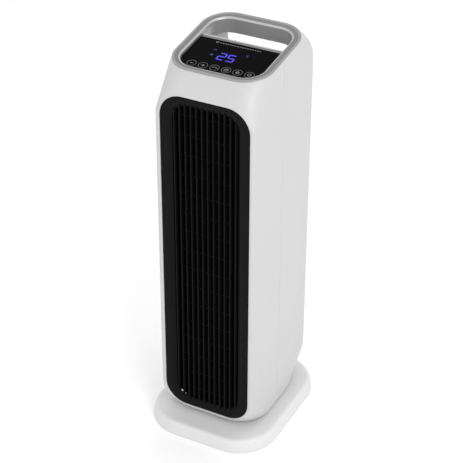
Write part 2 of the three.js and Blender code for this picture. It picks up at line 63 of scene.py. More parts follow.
CROWN = Matrix.Translation((0, RING_Y, RING_Z)) @ Matrix.Rotation(RING_TILT, 4, "X")

# ------------------------------------------------------------------ mesh helpers
def arc(cx, cy, r, a0, a1, n):
    return [(cx + r * math.cos(math.radians(a0 + (a1 - a0) * i / n)), cy + r * math.sin(math.radians(a0 + (a1 - a0) * i / n))) for i in range(n + 1)]


def line(p, q, n):
    return [(p[0] + (q[0] - p[0]) * i / n, p[1] + (q[1] - p[1]) * i / n) for i in range(1, n)]


def outline(x, y0, y1, r0, r1, n=8, nf=1, ns=1, nb=1):
    """Rounded rectangle, counter-clockwise; radius r0 at the low-y corners, r1 at the high-y ones; the straight runs are
    split into nf, ns and nb pieces."""
    a = arc(x - r1, y1 - r1, r1, 0, 90, n)
    b = arc(-x + r1, y1 - r1, r1, 90, 180, n)
    c = arc(-x + r0, y0 + r0, r0, 180, 270, n)
    d = arc(x - r0, y0 + r0, r0, 270, 360, n)
    return a + line(a[-1], b[0], nb) + b + line(b[-1], c[0], ns) + c + line(c[-1], d[0], nf) + d + line(d[-1], a[0], ns)


def new_obj(name, verts, faces):
    me = bpy.data.meshes.new(name)
    me.from_pydata([tuple(c * MM for c in v) for v in verts], [], faces)
    me.validate()
    ob = bpy.data.objects.new(name, me)
    coll.objects.link(ob)
    return ob


def loft(name, rings, cap0=True, cap1=True, loop=False):
    """Skin through rings of equal point count; loop=True joins the last ring back to the first."""
    n = len(rings[0])
    verts = [p for r in rings for p in r]
    faces = []
    m = len(rings)
    for i in range(m if loop else m - 1):
        a0, b0 = i * n, ((i + 1) % m) * n
        for j in range(n):
            k = (j + 1) % n
            faces.append((a0 + j, a0 + k, b0 + k, b0 + j))
    if not loop:
        if cap0:
            faces.append(tuple(reversed(range(n))))
        if cap1:
            faces.append(tuple(range((m - 1) * n, m * n)))
    return new_obj(name, verts, faces)


def flip(ob):
    bm = bmesh.new()
    bm.from_mesh(ob.data)
    bmesh.ops.recalc_face_normals(bm, faces=bm.faces)
    bm.to_mesh(ob.data)
    bm.free()
    return ob


def bake(ob):
    """Applies the object's modifiers."""
    dg = bpy.context.evaluated_depsgraph_get()
    me = bpy.data.meshes.new_from_object(ob.evaluated_get(dg))
    ob.modifiers.clear()
    old = ob.data
    ob.data = me
    bpy.data.meshes.remove(old)
    me.name = ob.name
    return ob


def boolean(ob, cutter, op="DIFFERENCE", keep=False):
    m = ob.modifiers.new("cut", "BOOLEAN")
    m.operation, m.solver, m.object = op, "EXACT", cutter
    bake(ob)
    if not keep:
        kill(cutter)
    return ob


def kill(ob):
    me = ob.data
    bpy.data.objects.remove(ob)
    bpy.data.meshes.remove(me)


def copy(ob, name):
    c = ob.copy()
    c.data = ob.data.copy()
    c.name = c.data.name = name
    coll.objects.link(c)
    return c


def merge(name, obs):
    """Joins meshes into one object; their solids stay as they are."""
    bm = bmesh.new()
    for o in obs:
        bm.from_mesh(o.data)
    me = bpy.data.meshes.new(name)
    bm.to_mesh(me)
    bm.free()
    for o in obs:
        kill(o)
    ob = bpy.data.objects.new(name, me)
    coll.objects.link(ob)
    return ob


def move(ob, matrix):
    """Applies a matrix given in millimetres."""
    m = matrix.copy()
    m.translation = m.translation * MM
    ob.data.transform(m)
    return ob


def box(name, x0, x1, y0, y1, z0, z1):
    v = [(x, y, z) for z in (z0, z1) for (x, y) in ((x0, y0), (x1, y0), (x1, y1), (x0, y1))]
    return new_obj(name, v, [(3, 2, 1, 0), (4, 5, 6, 7), (0, 1, 5, 4), (1, 2, 6, 5), (2, 3, 7, 6), (3, 0, 4, 7)])


def bevel(ob, width, segments=3, angle=35):
    m = ob.modifiers.new("bevel", "BEVEL")
    m.width, m.segments, m.limit_method, m.angle_limit = width * MM, segments, "ANGLE", math.radians(angle)
    m.use_clamp_overlap = True
    return bake(ob)


def rbox(name, x0, x1, y0, y1, z0, z1, r=0.6, seg=2):
    return bevel(box(name, x0, x1, y0, y1, z0, z1), r, seg)


def disc_stack(name, prof, n=48, axis="Z", at=(0, 0, 0), hole=False):
    """Turned solid from (radius, height) pairs, lowest first; closed on the axis unless hole."""
    rings = [[(r * math.cos(2 * math.pi * i / n), r * math.sin(2 * math.pi * i / n), h) for i in range(n)] for r, h in prof]
    ob = loft(name, rings, loop=hole)
    if hole:
        flip(ob)
    if axis == "Y":  # heights run along +Y
        ob.data.transform(Matrix.Rotation(-math.pi / 2, 4, "X"))
    if axis == "X":
        ob.data.transform(Matrix.Rotation(math.pi / 2, 4, "Y"))
    ob.data.transform(Matrix.Translation(Vector(at) * MM))
    return ob


def polish(ob, angle=32, weighted=True):
    me = ob.data
    me.shade_smooth()
    me.set_sharp_from_angle(angle=math.radians(angle))
    if weighted:
        w = ob.modifiers.new("normals", "WEIGHTED_NORMAL")
        w.keep_sharp, w.weight, w.mode = True, 100, "FACE_AREA"
    return ob


def y_prism(name, pts, y0, y1):
    """Prism of an XZ outline, counter-clockwise in X and Z, from y0 to y1."""
    ob = loft(name, [[(x, y0, z) for x, z in pts], [(x, y1, z) for x, z in pts]])
    return flip(ob)


def prism(name, pts, z0, z1):
    return flip(loft(name, [[(x, y, z0) for x, y in pts], [(x, y, z1) for x, y in pts]]))


# ------------------------------------------------------------------ node materials
def material(name):
    m = bpy.data.materials.new(name)
    m.use_nodes = True
    nt = m.node_tree
    nt.nodes.clear()
    out = nt.nodes.new("ShaderNodeOutputMaterial")
    bsdf = nt.nodes.new("ShaderNodeBsdfPrincipled")
    nt.links.new(bsdf.outputs[0], out.inputs[0])
    tc = nt.nodes.new("ShaderNodeTexCoord")
    return m, nt, bsdf, tc.outputs["Object"]


def noise(nt, vec, scale, detail=3.0, rough=0.5, stretch=None):
    if stretch:
        mp = nt.nodes.new("ShaderNodeMapping")
        mp.inputs["Scale"].default_value = stretch
        nt.links.new(vec, mp.inputs["Vector"])
        vec = mp.outputs[0]
    n = nt.nodes.new("ShaderNodeTexNoise")
    n.inputs["Scale"].default_value = scale
    n.inputs["Detail"].default_value = detail
    n.inputs["Roughness"].default_value = rough
    nt.links.new(vec, n.inputs["Vector"])
    return n.outputs["Fac"]


def ramp(nt, fac, stops):
    r = nt.nodes.new("ShaderNodeValToRGB")
    els = r.color_ramp.elements
    while len(els) < len(stops):
        els.new(0.5)
    for e, (p, c) in zip(els, stops):
        e.position = p
        e.color = (c[0], c[1], c[2], 1) if isinstance(c, (tuple, list)) else (c, c, c, 1)
    nt.links.new(fac, r.inputs[0])
    return r.outputs[0]


def bump(nt, bsdf, height, strength, distance, normal=None):
    b = nt.nodes.new("ShaderNodeBump")
    b.inputs["Strength"].default_value = strength
    b.inputs["Distance"].default_value = distance
    nt.links.new(height, b.inputs["Height"])
    if normal is not None:
        nt.links.new(normal, b.inputs["Normal"])
    nt.links.new(b.outputs[0], bsdf.inputs["Normal"])
    return b.outputs[0]


def plastic(name, c, rough, spread=0.02, grain=1400, grain_d=2e-5, wave=0.0, spec=0.5, coat=0.0):
    """Moulded plastic: slight tone drift, moulding grain, roughness drift."""
    m, nt, b, vec = material(name)
    lo = [v * (1 - spread) for v in c]
    hi = [min(1, v * (1 + spread)) for v in c]
    nt.links.new(ramp(nt, noise(nt, vec, 14, 4), [(0.3, lo), (0.7, hi)]), b.inputs["Base Color"])
    nt.links.new(ramp(nt, noise(nt, vec, 60, 5), [(0.3, rough * 0.95), (0.75, rough * 1.08)]), b.inputs["Roughness"])
    b.inputs["Specular IOR Level"].default_value = spec
    if coat:
        b.inputs["Coat Weight"].default_value = coat
        b.inputs["Coat Roughness"].default_value = 0.12
    n = bump(nt, b, noise(nt, vec, grain, 2), 0.5, grain_d) if grain else None
    if wave:
        bump(nt, b, noise(nt, vec, 24, 0), 0.5, wave, n)
    return m


def metal(name, c, rough, brushed=None, metallic=1.0):
    m, nt, b, vec = material(name)
    b.inputs["Metallic"].default_value = metallic
    fac = noise(nt, vec, 900 if not brushed else 500, 3, 0.6, brushed)
    nt.links.new(ramp(nt, fac, [(0.3, [v * 0.86 for v in c]), (0.7, [min(1, v * 1.1) for v in c])]), b.inputs["Base Color"])
    nt.links.new(ramp(nt, noise(nt, vec, 45, 4), [(0.3, rough * 0.85), (0.75, rough * 1.2)]), b.inputs["Roughness"])
    bump(nt, b, fac, 0.35, 1.5e-5)
    return m


M = {}
M["white_shell"] = plastic("white_shell", (0.475, 0.475, 0.479), 0.36, 0.008, 0, 0, 4e-5, 0.4)
# same white plastic as the shell, made lighter: painted light on the base top and wall
M["white_base"] = plastic("white_base", (0.605, 0.605, 0.609), 0.38, 0.008, 0, 0, 4e-5, 0.4)
M["white_inner"] = plastic("white_inner", (0.46, 0.46, 0.464), 0.42, 0.012, 0, 0, 4e-5)
M["black_grille"] = plastic("black_grille", (0.0048, 0.0048, 0.0051), 0.5, 0.12, 1100, 1e-5, 0.0, 0.06)
M["black_part"] = plastic("black_part", (0.014, 0.014, 0.0148), 0.46, 0.12, 1100, 3e-5, 0.0, 0.4)
# black plastic for the tower's insides, darkened past black_part: real black plastic plus painted shade inside the
# tower
M["black_inner_shaded"] = plastic("black_inner_shaded", (0.0022, 0.0022, 0.0023), 0.75, 0.15, 900, 1e-5, 0.0, 0.0)
M["pom"] = plastic("pom", (0.72, 0.71, 0.66), 0.42, 0.02)
M["rubber"] = plastic("rubber", (0.018, 0.018, 0.018), 0.8, 0.2, 700, 6e-5, 0.0, 0.3)
M["board"] = plastic("circuit_board", (0.012, 0.11, 0.04), 0.45, 0.25, 300, 4e-5)
M["steel"] = metal("steel", (0.55, 0.55, 0.56), 0.32, (1, 1, 6))
# heater fins made near-black: painted shade behind the grille, not the fins' own metal colour
M["fins_shaded"] = plastic("heater_fins", (0.0026, 0.0026, 0.0027), 0.7, 0.3, 1400, 2e-5, 0.0, 0.0)


def silver(name, lo, mid, hi, rough):
    m, nt, b, vec = material(name)
    flakes = nt.nodes.new("ShaderNodeTexVoronoi")
    flakes.inputs["Scale"].default_value = 2600
    nt.links.new(vec, flakes.inputs["Vector"])
    sep = nt.nodes.new("ShaderNodeSeparateColor")
    nt.links.new(flakes.outputs["Color"], sep.inputs[0])
    nt.links.new(ramp(nt, sep.outputs[0], [(0.0, lo), (0.7, mid), (1.0, hi)]), b.inputs["Base Color"])
    b.inputs["Metallic"].default_value = 0.82
    nt.links.new(ramp(nt, noise(nt, vec, 80, 4), [(0.3, rough * 0.93), (0.75, rough * 1.1)]), b.inputs["Roughness"])
    bump(nt, b, flakes.outputs["Distance"], 0.25, 1.2e-5)
    return m


M["silver"] = silver("silver_trim", 0.19, 0.225, 0.28, 0.38)
M["silver_band"] = silver("silver_trim_band", 0.3, 0.34, 0.41, 0.4)
# lighter copy of the ring's silver: painted reflection on the ring's inner fillet and wall
M["silver_wall_sheen"] = silver("silver_trim_wall_sheen", 0.42, 0.48, 0.57, 0.37)


def glass():
    m, nt, b, vec = material("black_panel")
    nt.links.new(ramp(nt, noise(nt, vec, 20, 4), [(0.3, (0.0016, 0.0016, 0.0018)), (0.75, (0.0026, 0.0026, 0.003))]), b.inputs["Base Color"])
    nt.links.new(ramp(nt, noise(nt, vec, 35, 6, 0.65), [(0.35, 0.07), (0.8, 0.16)]), b.inputs["Roughness"])
    b.inputs["Specular IOR Level"].default_value = 0.015
    bump(nt, b, noise(nt, vec, 30, 2), 0.2, 1e-5)
    return m


M["glass"] = glass()


def lamp(name, c, strength, base=(0.01, 0.01, 0.03)):
    m, nt, b, vec = material(name)
    b.inputs["Roughness"].default_value = 0.3
    f = noise(nt, vec, 700, 3)
    nt.links.new(ramp(nt, f, [(0.3, [v * 0.9 for v in base]), (0.7, [min(1, v * 1.1) for v in base])]), b.inputs["Base Color"])
    nt.links.new(ramp(nt, f, [(0.25, [v * 0.8 for v in c]), (0.75, c)]), b.inputs["Emission Color"])
    b.inputs["Emission Strength"].default_value = strength
    return m


M["led"] = lamp("led_display", (0.045, 0.03, 0.85), 1.15)
M["led_dim"] = lamp("led_dim", (0.035, 0.03, 0.4), 0.75)
M["print"] = plastic("panel_print", (0.26, 0.26, 0.265), 0.5, 0.1)
M["print_dim"] = plastic("panel_print_dim", (0.15, 0.15, 0.155), 0.5, 0.1)


def mesh_cloth():
    m, nt, b, vec = material("filter_mesh")
    def wave(direction, scale):
        w = nt.nodes.new("ShaderNodeTexWave")
        w.bands_direction = direction
        w.inputs["Scale"].default_value = scale
        w.inputs["Distortion"].default_value = 0.0
        nt.links.new(vec, w.inputs["Vector"])
        return w.outputs["Fac"]
    mx = nt.nodes.new("ShaderNodeMath")
    mx.operation = "MAXIMUM"
    nt.links.new(wave("X", 220), mx.inputs[0])
    nt.links.new(wave("Z", 220), mx.inputs[1])
    nt.links.new(ramp(nt, mx.outputs[0], [(0.55, (0.004, 0.004, 0.004)), (0.85, (0.05, 0.05, 0.052))]), b.inputs["Base Color"])
    b.inputs["Roughness"].default_value = 0.75
    bump(nt, b, mx.outputs[0], 0.6, 2e-4)
    return m


M["filter"] = mesh_cloth()


def dress(ob, mat):
    ob.data.materials.clear()
    ob.data.materials.append(M[mat])
    return ob


def piece(ob, body, mat, nodes=(), angle=32, weighted=True):
    polish(ob, angle, weighted)
    if mat:
        dress(ob, mat)
    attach(ob, body)
    if nodes:
        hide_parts(*nodes)
    return ob


# ------------------------------------------------------------------ tower hull
HULL = np.array([
    [TOWER_Z, 74.7, -77.6, 83, 54, 62, 0],
    [26, 75.25, -79.6, 85, 48, 56, 0],
    [29, HW, -82.2, 87.2, 45, 53, 0],
    [32, HW, -84.8, 88.6, 43, 51, 0],
    [36, HW, -88.6, 89.5, 41, 49, 0],
    [39.4, HW, -90.6, 89.8, 38.5, 47.5, 0],
    [45, HW, -HD, 90.4, 23, 40, 0],
    [50, HW, -HD, HD, 16, 34, 0],
    [57, HW, -HD, HD, 10, 25, 0],
    [64, HW, -HD, HD, 7, 15, 0],
    [72, HW, -HD, HD, 5, 8, 0],
    [82, HW, -HD, HD, EDGE_R, EDGE_R, 0],
    [515, HW, -HD, HD, EDGE_R, EDGE_R, 0],
    [527, HW, -HD, HD, 5.2, EDGE_R, 0],
    [535, HW, -HD, HD, 11.3, EDGE_R, 0],
    [542, 75.33, -HD, HD, 18.1, EDGE_R, 0],
    [549, 75.26, -HD, HD, 24.7, EDGE_R, 0],
    [556, 75.13, -90.1, HD, 29.7, EDGE_R, 0],
    [563.5, 74.96, -88.15, HD, 32.7, EDGE_R, 1.42],
    [570, 74.79, -86.2, HD, 34.5, 6.5, 2.64],
    [576, 74.6, -84.1, HD, 35.8, 12.2, 3.77],
    [580, 74.5, -82.3, 90.3, 36.6, 16.7, 4.53],
    [586, 74.3, -79.1, 88.3, 37.4, 24.5, 5.66],
    [589, 74.2, -77.4, 86.7, 37.8, 28.7, 6.23],
    [593, 74.04, -75.1, 83.8, 38.9, 34.6, 6.98],
    [596.6, 73.9, -72.9, 80.5, 40.2, 40.2, 7.66],
])


def monotone(x, y, xi):
    """Monotone cubic through the points."""
    h, d = np.diff(x), np.diff(y) / np.diff(x)
    s = np.zeros(len(x))
    for i in range(1, len(x) - 1):
        if d[i - 1] * d[i] > 0:
            w1, w2 = 2 * h[i] + h[i - 1], h[i] + 2 * h[i - 1]
            s[i] = (w1 + w2) / (w1 / d[i - 1] + w2 / d[i])
    s[0], s[-1] = d[0], d[-1]
    i = np.clip(np.searchsorted(x, xi) - 1, 0, len(x) - 2)
    t = (xi - x[i]) / h[i]
    return (2 * t**3 - 3 * t**2 + 1) * y[i] + (t**3 - 2 * t**2 + t) * h[i] * s[i] + (-2 * t**3 + 3 * t**2) * y[i + 1] + (t**3 - t**2) * h[i] * s[i + 1]


def hull_rows(zs):
    zs = np.asarray(zs, float)
    return np.stack([zs] + [monotone(HULL[:, 0], HULL[:, k], zs) for k in range(1, 7)], 1)


def hull_ring(row, inset=0.0, lift=0.0):
    z, w, yf, yb, rf, rb, tilt = row
    pts = outline(w - inset, yf + inset, yb - inset, max(rf - inset, 1.7), max(rb - inset, 1.7), 9, 14, 16, 14)
    t = math.tan(math.radians(tilt))
    return [(x, y + TOWER_Y, z + lift + t * y) for x, y in pts]


LEVELS = list(np.linspace(TOWER_Z, 26, 5)[:-1]) + list(np.linspace(26, 45, 20)[:-1]) + list(np.linspace(45, 84, 22)[:-1]) + [84, 100, 180, 290, 400, 490, 512] + list(np.linspace(518, 596.6, 48))


def hull(name, inset, z_from=None, top_lift=0.0):
    rows = hull_rows([z for z in LEVELS if z_from is None or z > z_from + 0.4])
    rings = []
    if z_from is not None:
        rings.append(hull_ring(hull_rows([z_from])[0], inset))
    rings += [hull_ring(r, inset) for r in rows]
    if top_lift:
        rings.append(hull_ring(rows[-1], inset, top_lift))
    return loft(name, rings)


def grille_pts(grow=0.0, n=14):
    return outline(GRILLE_W / 2 + grow, GRILLE_Z0 - grow, GRILLE_Z1 + grow, GRILLE_R + grow, GRILLE_R + grow, n, 6, 20, 6)


def flared_y(name, prof, pts_of):
    """Cutter along Y with an outline that grows: prof is (y, grow), from the outside inwards."""
    return flip(loft(name, [[(x, y, z) for x, z in pts_of(g)] for y, g in prof]))


skin = hull("skin", 0)
boolean(skin, hull("inside", WALL, TOWER_Z + WALL, 14))
boolean(skin, disc_stack("neck_hole", [(32, 15), (32, 40)], 64))
front = copy(skin, "front_shell_skin")
rear = skin
rear.name = rear.data.name = "rear_shell_skin"
boolean(front, box("half", -90, 90, -120, SPLIT_Y - 0.15, 20, 640), "INTERSECT")
boolean(rear, box("half", -90, 90, SPLIT_Y + 0.15, 120, 20, 640), "INTERSECT")
R = 1.6
lip = [(FRONT - 8, R)] + [(FRONT + R * (1 - math.cos(t)), R * (1 - math.sin(t))) for t in np.linspace(0, math.pi / 2, 7)] + [(FRONT + 14, 0)]
boolean(front, flared_y("mouth", lip, grille_pts))
R = 1.2
lip = [(REAR + 8, R)] + [(REAR - R * (1 - math.cos(t)), R * (1 - math.sin(t))) for t in np.linspace(0, math.pi / 2, 5)] + [(REAR - 14, 0)]


def rr_pts(w, z0, z1, r, n=8):
    return lambda g: outline(w / 2 + g, z0 - g, z1 + g, r + g, r + g, n, 4, 4, 4)


boolean(rear, flared_y("intake_cut", lip, rr_pts(INTAKE_W + 0.6, INTAKE_Z0 - 0.3, INTAKE_Z1 + 0.3, 7)))
boolean(rear, flared_y("window_cut", [(110, 0), (60, 0)], rr_pts(WIN_W, WIN_Z0, WIN_Z1, WIN_R)))
boolean(rear, flared_y("gland_cut", [(110, 0), (80, 0)], lambda g: [(-34 + 6.4 * math.cos(a), 88 + 6.4 * math.sin(a)) for a in np.linspace(0, 2 * math.pi, 32, endpoint=False)]))
boolean(rear, box("switch_cut", 34 - 6.8, 34 + 6.8, 80, 110, 82, 102))
# tongue behind the seam, part of the rear shell
tongue = hull("tongue", 0.5, TOWER_Z + 1)
boolean(tongue, hull("tongue_in", 2.3, TOWER_Z + 3, 14))
boolean(tongue, box("strip", -90, 90, SPLIT_Y - 1.2, SPLIT_Y + 0.6, 20, 640), "INTERSECT")
boolean(tongue, box("bottom", -40, 40, -50, 50, 15, 40))
rear = merge("rear_shell_skin", [rear, tongue])
piece(front, "tower", "white_shell", ["front_shell"], 28)
piece(rear, "tower", "white_shell", ["rear_shell"], 28)

# ------------------------------------------------------------------ front grille
G0 = FRONT + 1.2  # plane of the border
SLOT_W = FIELD_W / 2


def field(grow=0.0):
    return outline(SLOT_W + grow, GRILLE_Z0 + SLOT_BORDER - grow, GRILLE_Z1 - SLOT_BORDER + grow, 23 + grow, 23 + grow, 14, 6, 20, 6)


def grille_ring(grow, y):
    return [(x, y, z) for x, z in grille_pts(grow)]


def field_ring(grow, y):
    return [(x, y, z) for x, z in field(grow)]


border = flip(loft("grille_border", [
    grille_ring(-0.35, G0 + 5.5), grille_ring(-0.35, G0 + 0.8), grille_ring(-0.6, G0 + 0.25), grille_ring(-1.1, G0),
    grille_ring(-2.0, G0 - 0.12), field_ring(8.2, G0 - 0.15), field_ring(7.0, G0 - 0.05), field_ring(5.4, G0 + 0.35), field_ring(0.9, G0 + 2.5),
    field_ring(0.15, G0 + 2.95), field_ring(0, G0 + 3.5), field_ring(0, G0 + 5.5),
], loop=True))
parts = [border]
zc = (GRILLE_Z0 + GRILLE_Z1) / 2
hz = (GRILLE_Z1 - GRILLE_Z0) / 2 - SLOT_BORDER


def slot_half(x):
    over = max(0.0, abs(x) - (SLOT_W - 23))
    return hz - 23 + math.sqrt(max(0.0, 23 * 23 - over * over))


def rib(i):
    x = (i - (RIBS - 1) / 2) * RIB_PITCH
    top = slot_half(abs(x)) + 3.2
    w, y0, y1 = 1.2, G0 + 0.1, G0 + 4.9
    sec = [(x - w, y1), (x - w, y0 + 0.9), (x - w * 0.72, y0 + 0.28), (x, y0), (x + w * 0.72, y0 + 0.28), (x + w, y0 + 0.9), (x + w, y1)]
    zs = np.linspace(zc - top, zc + top, 15)
    return flip(loft("rib", [[(px, py, z) for px, py in sec] for z in zs]))


parts += [rib(i) for i in range(RIBS)]
ROWS = 16
for r in range(ROWS):
    z = GRILLE_Z0 + 32 + r * (GRILLE_Z1 - GRILLE_Z0 - 60) / (ROWS - 1)
    parts.append(rbox("bar", -39.6, 39.6, G0 + 4.4, G0 + 6.0, z - 0.6, z + 0.6, 0.35, 2))
grille = merge("front_grille_ribs", parts)
piece(grille, "tower", "black_grille", ["front_grille"], 38)

# painted highlights: small bright steel tabs on the duct's floor, just behind the lower ends of the slots, standing in
# for the glints at the slot ends
glint_tabs = []
for x, w in ((-42.4, 1.5), (-36.6, 0.7), (-12.8, 0.6), (4.2, 0.6), (21.2, 0.8), (29.7, 1.0), (38.2, 0.8)):
    z = zc - slot_half(abs(x)) + 3.4
    glint_tabs.append(rbox("clip", x - w, x + w, -85.4, -84.7, z - 2.6, z + 0.4 * w, 0.2, 2))
glint_tabs = merge("duct_glint_tabs", glint_tabs)
piece(glint_tabs, "tower", "steel", (), 40)

# ------------------------------------------------------------------ handle ring
NA = 12


def ring_out(inset, z):
    return [(x, y, z) for x, y in outline(RING_W / 2 - inset, -RING_L / 2 + inset, RING_L / 2 - inset, RING_R - inset, RING_R - inset, NA, 8, 18, 8)]


def smooth(a, b, t):
    t = min(1, max(0, (t - a) / (b - a)))
    return t * t * (3 - 2 * t)


def ring_in(grow, z=None, low=False):
    pts = outline(IN_W / 2 + grow, -IN_F - grow, IN_B + grow, IN_RF + grow, IN_RB + grow, NA, 8, 18, 8)
    if low:
        return [(x, y, -(8.5 + (SKIRT - 8.5) * smooth(14, 30, y))) for x, y in pts]
    return [(x, y, z) for x, y in pts]


def ridge(grow, z):
    return [(x, y, z) for x, y in outline(RIDGE_X + grow, -RIDGE_Y - grow, RIDGE_Y + grow, RIDGE_R + grow, RIDGE_R + grow, NA, 8, 18, 8)]


fil = [(FILLET * (1 - math.sin(t)), RIDGE_Z - FILLET * (1 - math.cos(t))) for t in np.linspace(0, math.pi / 2, 10)]
ring = flip(loft("handle_ring_body", [
    ridge(-0.03, -RING_T), ridge(-0.03, RIDGE_Z - 0.22), ridge(-0.1, RIDGE_Z - 0.06), ridge(-0.3, RIDGE_Z), ring_in(FILLET + 0.5, RIDGE_Z),
    ring_in(FILLET + 0.08, RIDGE_Z), ring_in(FILLET + 0.02, RIDGE_Z - 0.05), ring_in(FILLET + 0.02, -RING_T)], loop=True))
move(ring, CROWN)
piece(ring, "tower", "silver", ["handle_ring"], 50)
# inner fillet and wall of the ring take the lighter silver copy, a painted reflection
wall = flip(loft("handle_ring_wall", [ring_in(FILLET, -RING_T - 0.2), ring_in(FILLET, RIDGE_Z - 0.03)]
    + [ring_in(g, z) for g, z in fil[1:]] + [ring_in(0, -6), ring_in(0.05, low=True), ring_in(2.0, low=True), ring_in(2.0, -RING_T - 0.6)], loop=True))
move(wall, CROWN)
piece(wall, "tower", "silver_wall_sheen", (), 50)
band = flip(loft("handle_ring_band", [
    ridge(0.03, -RING_T), ring_out(0.0, -RING_T), ring_out(0.0, -0.5), ring_out(0.05, -0.3), ring_out(0.2, -0.1), ring_out(0.5, 0.0),
    ridge(0.35, RIDGE_Z + 0.03), ridge(0.1, RIDGE_Z - 0.02), ridge(0.03, RIDGE_Z - 0.12)], loop=True))
move(band, CROWN)
piece(band, "tower", "silver_band", (), 50)

# ------------------------------------------------------------------ touch panel, deck
def panel_pts(inset, back, r_back=0.8):
    return outline(IN_W / 2 - inset, -IN_F + inset, back, IN_RF - inset, r_back, NA, 8, 12, 8)


pane = flip(loft("touch_panel", [[(x, y, z) for x, y in panel_pts(i, b)] for i, b, z in (
    (0.4, GLASS_BACK, -GLASS_D - 2.2), (0.4, GLASS_BACK, -GLASS_D - 0.3), (0.5, GLASS_BACK - 0.1, -GLASS_D - 0.1), (0.75, GLASS_BACK - 0.3, -GLASS_D))]))
move(pane, CROWN)
piece(pane, "tower", "glass", ["touch_glass"], 40)

deck = flip(loft("panel_deck_tray", [[(x, y, z) for x, y in panel_pts(0.4, DECK_BACK)] for z in (-10.3, -8.3)]))
strip = rbox("strip", -IN_W / 2 + 0.3, IN_W / 2 - 0.3, GLASS_BACK + 0.25, DECK_BACK, -9, -GLASS_D, 0.5, 3)
deck = merge("panel_deck_tray", [deck, strip])
move(deck, CROWN)
piece(deck, "tower", "silver", ["panel_deck"], 40)

# printed and lit marks: thin raised ink on the panel
INK = -GLASS_D + 0.02
SHIFT = (-1.13, 1.95)


def ink(name, polys, mat):
    obs = []
    for p in polys:
        obs.append(flip(loft(name, [[(x + SHIFT[0], y + SHIFT[1], z) for x, y in p] for z in (INK - 0.03, INK + 0.05)])))
    ob = merge(name, obs)
    move(ob, CROWN)
    piece(ob, "tower", mat, (), 30, False)
    return ob


def bar(p, q, w):
    (x0, y0), (x1, y1) = p, q
    d = math.hypot(x1 - x0, y1 - y0)
    nx, ny = -(y1 - y0) / d * w / 2, (x1 - x0) / d * w / 2
    return [(x0 + nx, y0 + ny), (x0 - nx, y0 - ny), (x1 - nx, y1 - ny), (x1 + nx, y1 + ny)]


def stroke(pts, w):
    return [bar(pts[i], pts[i + 1], w) for i in range(len(pts) - 1)]


def hoop(cx, cy, r, w, a0=0, a1=360, n=40):
    st = []
    k = max(3, int(n * (a1 - a0) / 360))
    for i in range(k):
        b0, b1 = math.radians(a0 + (a1 - a0) * i / k), math.radians(a0 + (a1 - a0) * (i + 1) / k)
        st.append([(cx + (r - w / 2) * math.cos(b0), cy + (r - w / 2) * math.sin(b0)), (cx + (r + w / 2) * math.cos(b0), cy + (r + w / 2) * math.sin(b0)),
                   (cx + (r + w / 2) * math.cos(b1), cy + (r + w / 2) * math.sin(b1)), (cx + (r - w / 2) * math.cos(b1), cy + (r - w / 2) * math.sin(b1))])
    return st


def segment(cx, cy, length, upright, w=1.9):
    """One display bar with pointed ends."""
    h, k = length / 2, w / 2
    p = [(-h, 0), (-h + k, k), (h - k, k), (h, 0), (h - k, -k), (-h + k, -k)]
    return [(cx - y, cy + x) if upright else (cx + x, cy + y) for x, y in p]


def digit(u, v, on, w=9.6, h=15.4):
    s = {
        "a": segment(u, v + h / 2, w, False), "g": segment(u, v, w, False), "d": segment(u, v - h / 2, w, False),
        "f": segment(u - w / 2, v + h / 4, h / 2, True), "b": segment(u + w / 2, v + h / 4, h / 2, True),
        "e": segment(u - w / 2, v - h / 4, h / 2, True), "c": segment(u + w / 2, v - h / 4, h / 2, True),
    }
    return [s[k] for k in on]


ink("display_digits", digit(-9.6, -26, "abged") + digit(4.3, -26, "afgcd"), "led")
lit = []
lit += stroke([(-27.6, -15.6), (-25.6, -11.8), (-23.4, -14.0), (-23.9, -15.4)], 0.8)
lit += hoop(-24.6, -26.6, 1.9, 0.7) + hoop(-24.6, -26.6, 0.5, 0.9)
lit += hoop(23.0, -12.6, 1.9, 0.7, 60, 300)
ink("display_symbols", lit, "led_dim")
marks = []
US = [-40.1, -23.0, -5.9, 11.0, 27.8, 45.1]
VS = [-54.2, -53.9, -53.5, -53.1, -52.7, -52.1]
for u, v in zip(US, VS):
    marks += hoop(u, v, 6.4, 0.5, n=48)
ink("touch_circles", marks, "print_dim")
marks = []
(u, v) = (US[0], VS[0]); marks += stroke([(u - 2.4, v), (u + 2.4, v)], 0.7)
(u, v) = (US[1], VS[1]); marks += stroke([(u - 2.6, v), (u + 2.6, v)], 0.7) + stroke([(u, v - 2.6), (u, v + 2.6)], 0.7)
(u, v) = (US[2], VS[2]); marks += hoop(u, v - 2.2, 3.6, 0.7, 35, 145) + stroke([(u - 3.9, v + 0.4), (u - 2.9, v - 0.3), (u - 2.6, v + 1.0)], 0.6) + stroke([(u + 3.9, v + 0.4), (u + 2.9, v - 0.3), (u + 2.6, v + 1.0)], 0.6)
(u, v) = (US[3], VS[3]); marks += hoop(u, v, 2.7, 0.65) + stroke([(u, v + 1.7), (u, v), (u + 1.3, v - 0.9)], 0.6)
(u, v) = (US[4], VS[4]); marks += hoop(u, v, 1.3, 0.65)
for k in range(8):
    a = math.radians(45 * k)
    marks += stroke([(u + 2.0 * math.cos(a), v + 2.0 * math.sin(a)), (u + 3.2 * math.cos(a), v + 3.2 * math.sin(a))], 0.6)
(u, v) = (US[5], VS[5]); marks += hoop(u, v, 2.5, 0.65, 125, 415) + stroke([(u, v + 3.2), (u, v + 0.4)], 0.65)
ink("touch_symbols", marks, "print")
marks = hoop(-31.6, 4.2, 1.7, 0.5)
for k in range(17):
    marks += stroke([(-27.4 + 3.7 * k, 4.2), (-25.2 + 3.7 * k, 4.2)], 1.0)
ink("panel_dashes", marks, "print")

# ------------------------------------------------------------------ hand pocket
def cup_ring(grow, z, r_floor=0.0):
    return [(x, y, z) for x, y in outline(IN_W / 2 + grow, DECK_BACK + 2.5 - grow, IN_B + grow, 2.0 + max(grow, 0), IN_RB + grow, 10, 8, 8, 8)]


